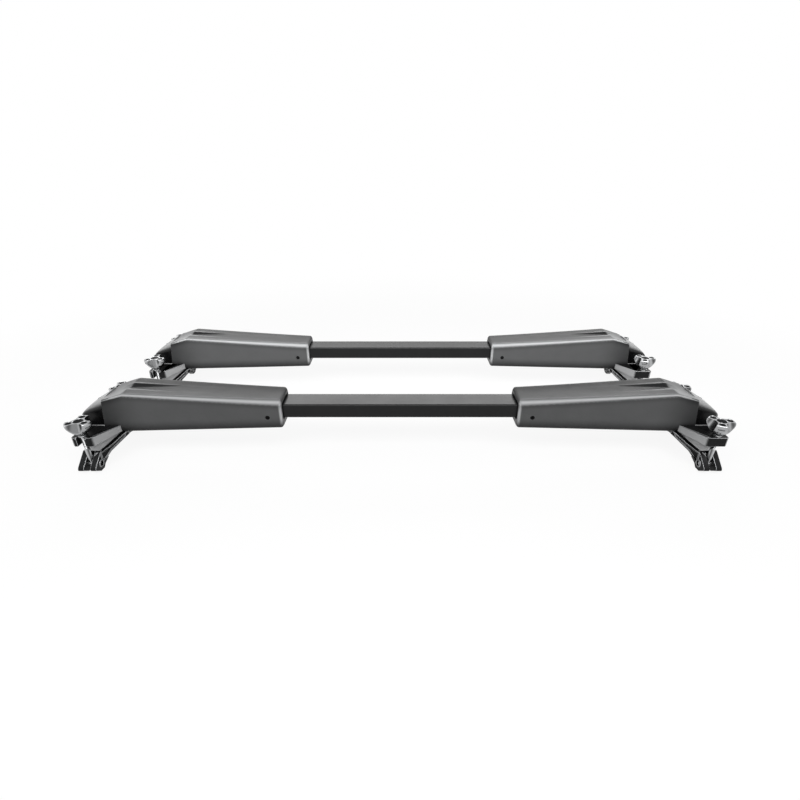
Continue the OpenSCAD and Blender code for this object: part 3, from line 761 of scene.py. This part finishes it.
def castingCopy(node):
    # merged, with its flat faces joined; long outer edges get the full rounding, short ones a share of it
    s = castingSizes
    mesh = nodes[node].data.copy()
    bm = bmesh.new()
    bm.from_mesh(mesh)
    bmesh.ops.remove_doubles(bm, verts=bm.verts, dist=s["merge"])
    bmesh.ops.dissolve_limit(bm, angle_limit=math.radians(s["flatAngle"]), verts=bm.verts, edges=bm.edges)
    weight = bm.edges.layers.float.new("bevel_weight_edge")
    top = (rack["barTop"] + rack["footTop"]) / 1000
    for edge in bm.edges:
        if len(edge.link_faces) != 2 or edge.calc_face_angle() < math.radians(s["sharpFrom"]):
            continue
        edge[weight] = s["fineShare"]
        onTop = all(abs(v.co.z - top) < s["topWithin"] for v in edge.verts)
        if edge.is_convex and onTop and edge.calc_length() > s["longEdge"]:
            edge[weight] = 1.0
    bm.to_mesh(mesh)
    bm.free()
    mesh.shade_smooth()
    mesh.set_sharp_from_angle(angle=math.radians(s["smoothTo"]))
    # painted sheen, on the feet only
    paintedHighlight = castingPaintedSheen(mesh) * node.startswith("foot")
    mesh.attributes.new("paintedHighlight", "FLOAT", "FACE").data.foreach_set("value", paintedHighlight)
    return mesh


def roundEdges(piece):
    s = castingSizes
    edges = piece.modifiers.new("edges", "BEVEL")
    edges.width = s["edge"]
    edges.segments = s["segments"]
    edges.limit_method = "WEIGHT"
    edges.use_clamp_overlap = False
    edges.miter_outer = "MITER_SHARP"
    edges.material = 1  # the rounded edges have the paler finish, a painted highlight along them


def settleRounding(piece):
    # makes the rounding final and brings any corner that it pushed past the flat faces back onto them
    flat = piece.data
    corners = [v.co.copy() for v in flat.vertices]
    faces = BVHTree.FromPolygons(corners, [list(p.vertices) for p in flat.polygons])
    graph = bpy.context.evaluated_depsgraph_get()
    rounded = bpy.data.meshes.new_from_object(piece.evaluated_get(graph))
    points = meshPoints(rounded)
    for i, point in enumerate(points):
        near, normal, _, away = faces.find_nearest(point)
        if away > castingSizes["overshoot"] and (Vector(point) - near).dot(normal) > 0:
            points[i] = near
    placePoints(rounded, points)
    piece.modifiers.clear()
    piece.data = rounded
    bpy.data.meshes.remove(flat)


for foot in feet:
    for kind in ("foot", "lower_jaw"):
        name = f"{kind}_{foot}"
        piece = addPiece(f"cast_{name}", castingCopy(name), name, "casting")
        piece.data.materials.append(finish["castingEdgeHighlight"])
        roundEdges(piece)
        settleRounding(piece)
print("castings made")


# Hand knobs

knobSizes = {
    # the body: (height, radius) pairs of the tulip, then the three scallops between the lobes
    "profile": [(0, 6.8), (0.5, 7.3), (1.5, 8.4), (4, 11.8), (8, 15.8), (13, 19.4), (18, 22.3),
                (20.5, 23.2), (22.5, 23.5), (25.4, 23.5), (26.7, 23.1), (27.6, 22.4), (28, 21.4)],
    "moreHeights": [0.8, 1.4, 3.5, 4, 4.5, 5.5, 21.5, 27.3, 27.8], "capShares": [0.9, 0.75, 0.5, 0.25],
    "height": 28.0, "radius": 23.5, "lobes": (0, 120, 240), "blend": 0.8,
    "scallopRadius": 16.0, "scallopAt": 26.5, "scallopLean": 0.32, "scallopFrom": 3.0,
    # the inlays, their recesses, the finger slots and the bore
    "inlayRadius": 8.5, "lobeInlayRadius": 5.4, "lobeInlayAt": 15.6, "recess": 2.0, "chamfer": 0.5,
    "inlayGap": 0.1, "inlayRise": 1.8, "inlayRound": 0.6, "inlayDome": 0.2,
    "slot": (3.4, 11.0, 3.0), "slotHeight": 20.0, "boreRadius": 5.08, "boreRoof": 4.5,
    # painted shade in the scallops, with a darker band on each side of their middle
    "hollowDepth": 3.0, "hollowBelow": 0.4, "hollowFrom": 9, "hollowAmount": 0.42,
    "bandHump": (34, 6), "bandAmount": 0.4,
    # how far each foot's two knobs are turned, in degrees
    "turns": {"front_left": (83, 55), "front_right": (2, 10), "rear_left": (80, 55), "rear_right": (3, 30)},
}


def knobRadii(heights, angle):
    # along each ray from the axis the radius is where the larger of two distances is nought: outside the
    # turned tulip profile, and inside one of the three scallops, which are circles that stand further out
    # the lower they are; the larger is taken softly, and the place is found by halving
    s = knobSizes
    c, sn = np.cos(angle), np.sin(angle)
    rows = heights[:, None]
    profile = np.interp(rows, *np.array(s["profile"]).T)
    scallopAt = s["scallopAt"] + s["scallopLean"] * (s["height"] - rows)
    cutShare = ramp(rows, s["scallopFrom"] - 1, s["scallopFrom"] + 1)
    far = 40.0
    low, high = np.full((len(heights), len(angle)), 1.0), np.full((len(heights), len(angle)), far)
    for _ in range(40):
        r = (low + high) / 2
        away = [np.hypot(r * c - scallopAt * math.cos(at), r * sn - scallopAt * math.sin(at))
                for at in np.radians(np.array(s["lobes"]) + 60)]
        inside = mix(-far, s["scallopRadius"] - np.min(away, axis=0), cutShare)
        outside = r - profile
        level = 0.5 * (outside + inside + np.sqrt((outside - inside) ** 2 + s["blend"] ** 2))
        low, high = np.where(level < 0, r, low), np.where(level < 0, high, r)
    return (low + high) / 2


def recessShape(radius):  # a flat-bottomed round hole in the top, with a chamfered rim
    s = knobSizes
    floor, top, rim = s["height"] - s["recess"], s["height"], radius + s["chamfer"]
    over = top + 5
    profile = [(0, floor), (radius, floor), (radius, top - s["chamfer"]), (rim, top), (rim, over), (0, over)]
    return turnedShape(profile, 56)


def knobCuts():
    s = knobSizes
    lobeRecesses = aroundAxis(recessShape(s["lobeInlayRadius"]), s["lobeInlayAt"], s["lobes"])
    roof = s["height"] - s["boreRoof"]
    bore = turnedShape([(0, -1), (s["boreRadius"], -1), (s["boreRadius"], roof), (0, roof)], 48)
    deep, wide, tall = s["slot"]
    slotLow, slotHigh = s["slotHeight"] - tall / 2, s["slotHeight"] + tall / 2
    slot = blockShape((-deep, -wide / 2, slotLow), (deep, wide / 2, slotHigh))
    recesses = joinShapes([recessShape(s["inlayRadius"]), lobeRecesses])
    return [recesses, bore, aroundAxis(slot, s["radius"], s["lobes"])]


def knobPaintedShade(points):
    # painted shade: dark where the scallops lie below the turned profile, darkest in two bands beside their
    # middle
    s = knobSizes
    x, y, z = points.T
    out = np.hypot(x, y)
    fromScallop = np.abs((np.degrees(np.arctan2(y, x)) % 120) - 60)
    hollow = ramp(np.interp(z, *np.array(s["profile"]).T) - out, 0, s["hollowDepth"])
    hollow = hollow * (z < s["height"] - s["hollowBelow"]) * (out > s["hollowFrom"])
    return hollow * (s["hollowAmount"] + s["bandAmount"] * hump(fromScallop, *s["bandHump"]))


def movedToBolt(mesh):
    placePoints(mesh, meshPoints(mesh) + [rack["boltX"], rack["boltY"], rack["knobZ"]])
    return mesh


def knobForm():
    s = knobSizes
    profileZ = np.array(s["profile"])[:, 0]
    heights = np.unique(np.concatenate((profileZ, np.linspace(5, s["height"], 27), s["moreHeights"])))
    angle = np.linspace(0, 2 * math.pi, 240, endpoint=False)
    radius = knobRadii(heights, angle)
    shares = np.array(s["capShares"])[:, None]
    radius = np.concatenate((radius, radius[-1:] * shares))
    z = np.concatenate((heights, np.full(len(shares), s["height"])))[:, None]
    rings = np.stack((radius * np.cos(angle), radius * np.sin(angle), z + 0 * radius), axis=-1)
    mesh = carve(makeMesh("knob body", *cappedTube(rings), 50), knobCuts())
    shadeMesh(mesh, "shadow", knobPaintedShade(meshPoints(mesh)))
    return movedToBolt(mesh)


def inlayShape(radius):
    # a low dome with a rounded rim: the dome's height follows 1 - share^2
    s = knobSizes
    base = s["height"] - s["recess"] + s["inlayGap"]
    top = base + s["inlayRise"] - s["inlayGap"]
    edge = radius - s["inlayGap"] - s["inlayRound"]
    turn = np.radians(np.linspace(0, 90, 6))
    rim = [edge, top - s["inlayRound"]] + s["inlayRound"] * np.column_stack((np.cos(turn), np.sin(turn)))
    share = np.array([0.75, 0.5, 0.25, 0])
    dome = np.column_stack((edge * share, top + s["inlayDome"] * (1 - share ** 2)))
    return turnedShape(np.concatenate(([(0, base), (radius - s["inlayGap"], base)], rim, dome)), 48)


def inlayForm():
    s = knobSizes
    lobeInlays = aroundAxis(inlayShape(s["lobeInlayRadius"]), s["lobeInlayAt"], s["lobes"])
    return movedToBolt(makeMesh("inlay", *joinShapes([inlayShape(s["inlayRadius"]), lobeInlays])))


knobMesh = knobForm()
inlayMesh = inlayForm()
for foot in feet:
    for clamp, spin in zip((1, 2), knobSizes["turns"][foot]):
        addPiece(f"handKnob_{foot}_{clamp}", knobMesh, f"knob_{foot}_{clamp}", "knob", foot, clamp, spin)
        addPiece(f"knobInlay_{foot}_{clamp}", inlayMesh, f"inlay_{foot}_{clamp}", "inlay", foot, clamp, spin)
print("hand knobs made:", len(knobMesh.polygons), "faces each")


# Clamp bolts

boltSizes = {
    "top": -16.0, "tipRadius": 4.0, "pitch": 1.5, "threadLow": -66.0, "threadDepth": 0.75, "slack": 0.03,
    "threadStart": 2.0, "threadEnd": 1.5,
    "barrel": 6.0, "barrelHalf": 5.7, "barrelChamfer": 0.5, "pin": 4.5, "pinHalf": 16.0, "pinChamfer": 0.6,
    # a painted reflection: a darker line along the shaft, where a point lies near the axis as measured in
    # this direction
    "across": (-0.79, 0.61), "lineHump": (0, 0.4), "lineAmount": 0.9, "lineWithin": 0.1,
}


def screwShape():
    # a shaft whose upper part is a screw: radius = outer - depth * triangle wave of (height/pitch - turn)
    s = boltSizes
    heights = np.arange(s["threadLow"], s["top"] - 1, s["pitch"] / 6)
    angle = np.linspace(0, 2 * math.pi, 32, endpoint=False)[None]
    wave = np.abs(2 * ((heights[:, None] / s["pitch"] - angle / (2 * math.pi)) % 1) - 1)
    fade = ramp(heights - heights[0], 0, s["threadStart"]) * ramp(heights[-1] - heights, 0, s["threadEnd"])
    thread = rack["boltRadius"] - s["slack"] - s["threadDepth"] * wave * fade[:, None]
    plain = np.full((2, angle.size), rack["boltRadius"])
    r = np.concatenate((plain, thread, np.full((1, angle.size), s["tipRadius"])))
    z = np.concatenate(([rack["crossHeadZ"], s["threadLow"] - 0.5], heights, [s["top"]]))[:, None]
    return cappedTube(np.stack((r * np.cos(angle), r * np.sin(angle), z + 0 * r), axis=-1))


def crossHeadShape():
    # a barrel with a pin at each end, turned about the x axis; the profile is a half and its mirror
    s = boltSizes
    b, bHalf, bCut = s["barrel"], s["barrelHalf"], s["barrelChamfer"]
    p, pHalf, pCut = s["pin"], s["pinHalf"], s["pinChamfer"]
    half = np.array([(b, bHalf - bCut), (b - bCut, bHalf), (p, bHalf),
                     (p, pHalf - pCut), (p - pCut, pHalf), (0, pHalf)])
    return turnedShape(np.concatenate((half[::-1] * [1, -1], half)), 40, "x")


def boltForm():
    s = boltSizes
    head = movedShape(crossHeadShape(), [0, 0, rack["crossHeadZ"]])
    bolt = movedShape(joinShapes([screwShape(), head]), [rack["boltX"], rack["boltY"], 0])
    mesh = makeMesh("bolt", *bolt, 40)
    # painted reflection: a dark line down the shaft
    place = meshPoints(mesh)[:, :2] - [rack["boltX"], rack["boltY"]]
    out = np.hypot(*place.T)
    line = hump(place @ np.array(s["across"]) / np.maximum(out, 1e-6), *s["lineHump"])
    shadeMesh(mesh, "shadow", s["lineAmount"] * line * (out < rack["boltRadius"] + s["lineWithin"]))
    return mesh


boltMesh = boltForm()
for foot in feet:
    for clamp in (1, 2):
        addPiece(f"clampBolt_{foot}_{clamp}", boltMesh, f"bolt_{foot}_{clamp}", "steel", foot, clamp)
print("clamp bolts made:", len(boltMesh.polygons), "faces each")


# Floor, light and camera

studio = {
    "floorHalf": 6.0, "floorDrop": 0.0003, "floorWhite": 0.93, "floorShare": 0.9, "floorFade": (0.7, 1.6),
    "worldFill": 0.2,
    "cameraPlace": (0.0, -0.9845, 0.534), "cameraDown": 63.0, "lens": 21.51, "sensor": 36.0,
    # place, turn in degrees, size and power of each lamp
    "lamps": {
        "frontSoftbox": ((0, -1.0, 1.2), (40, 0, 0), (2.4, 0.5), 23.0),
        "backSoftbox": ((0, 1.9, 1.14), (-60, 0, 0), (3.6, 0.50), 21.0),
        "middleSoftbox": ((0, -0.10, 0.28), (86, 0, 0), (1.5, 0.16), 2.4),
        "leftSoftbox": ((-1.5, -0.5, 0.5), (0, -75, 0), (1.0, 1.4), 4.0),
        "rightSoftbox": ((1.5, -0.5, 0.5), (0, 75, 0), (1.0, 1.4), 4.0),
    },
}


def mathNode(tree, operation, first, second):
    node = tree.nodes.new("ShaderNodeMath")
    node.operation = operation
    tree.links.new(first, node.inputs[0])
    tree.links.new(second, node.inputs[1])
    return node.outputs[0]


def whiteBackground(tree):
    # 1 for camera, glossy and transmitted rays, which see plain white, and 0 for all others
    path = tree.nodes.new("ShaderNodeLightPath").outputs
    seen = mathNode(tree, "MAXIMUM", path["Is Camera Ray"], path["Is Glossy Ray"])
    return mathNode(tree, "MAXIMUM", seen, path["Is Transmission Ray"])


def blendInto(tree, output, share, first, second):
    # the second shader covers the first by the share
    blend = tree.nodes.new("ShaderNodeMixShader")
    tree.links.new(share, blend.inputs[0])
    tree.links.new(first.outputs[0], blend.inputs[1])
    tree.links.new(second.outputs[0], blend.inputs[2])
    tree.links.new(blend.outputs[0], tree.nodes.new(output).inputs[0])


def makeWorld(scene):
    world = bpy.data.worlds.new("studio")
    scene.world = world
    world.use_nodes = True
    tree = world.node_tree
    tree.nodes.clear()
    fill = tree.nodes.new("ShaderNodeBackground")
    fill.inputs["Strength"].default_value = studio["worldFill"]
    white = tree.nodes.new("ShaderNodeBackground")
    white.inputs["Color"].default_value = (1, 1, 1, 1)
    blendInto(tree, "ShaderNodeOutputWorld", whiteBackground(tree), fill, white)


def floorPaint():
    # near the object a share of the lit floor shows, further out it is plain white
    paint = bpy.data.materials.new("floor paint")
    paint.use_nodes = True
    tree = paint.node_tree
    tree.nodes.clear()
    matt = tree.nodes.new("ShaderNodeBsdfDiffuse")
    matt.inputs["Color"].default_value = (studio["floorWhite"],) * 3 + (1,)
    glow = tree.nodes.new("ShaderNodeEmission")
    glow.inputs["Strength"].default_value = 1.0
    place = tree.nodes.new("ShaderNodeTexCoord")
    reach = tree.nodes.new("ShaderNodeVectorMath")
    reach.operation = "LENGTH"
    tree.links.new(place.outputs["Object"], reach.inputs[0])
    plain = mapRange(tree, reach.outputs["Value"], studio["floorFade"], (studio["floorShare"], 1.0))
    plain.interpolation_type = "SMOOTHSTEP"
    share = mathNode(tree, "MULTIPLY", whiteBackground(tree), plain.outputs["Result"])
    blendInto(tree, "ShaderNodeOutputMaterial", share, matt, glow)
    return paint


def makeFloor(scene):
    size, drop = studio["floorHalf"], studio["floorDrop"]
    mesh = bpy.data.meshes.new("floor")
    corners = [(-size, -size, 0), (size, -size, 0), (size, size, 0), (-size, size, 0)]
    mesh.from_pydata(corners, [], [(0, 1, 2, 3)])
    mesh.materials.append(floorPaint())
    floor = bpy.data.objects.new("floor", mesh)
    scene.collection.objects.link(floor)
    floor.location.z = -drop


def makeLamp(scene, name, place, turn, size, power):
    light = bpy.data.lights.new(name, "AREA")
    light.shape = "RECTANGLE"
    light.size, light.size_y = size
    light.energy = power
    lamp = bpy.data.objects.new(name, light)
    scene.collection.objects.link(lamp)
    lamp.location = place
    lamp.visible_camera = False
    lamp.rotation_euler = [math.radians(t) for t in turn]


def makeCamera(scene):
    view = bpy.data.cameras.new("camera")
    view.lens = studio["lens"]
    view.sensor_width = studio["sensor"]
    camera = bpy.data.objects.new("camera", view)
    scene.collection.objects.link(camera)
    camera.location = studio["cameraPlace"]
    camera.rotation_euler = (math.radians(studio["cameraDown"]), 0, 0)
    scene.camera = camera


makeWorld(bpy.context.scene)
makeFloor(bpy.context.scene)
for name, values in studio["lamps"].items():
    makeLamp(bpy.context.scene, name, *values)
makeCamera(bpy.context.scene)
bpy.context.scene.view_settings.view_transform = "Standard"
print("studio made")
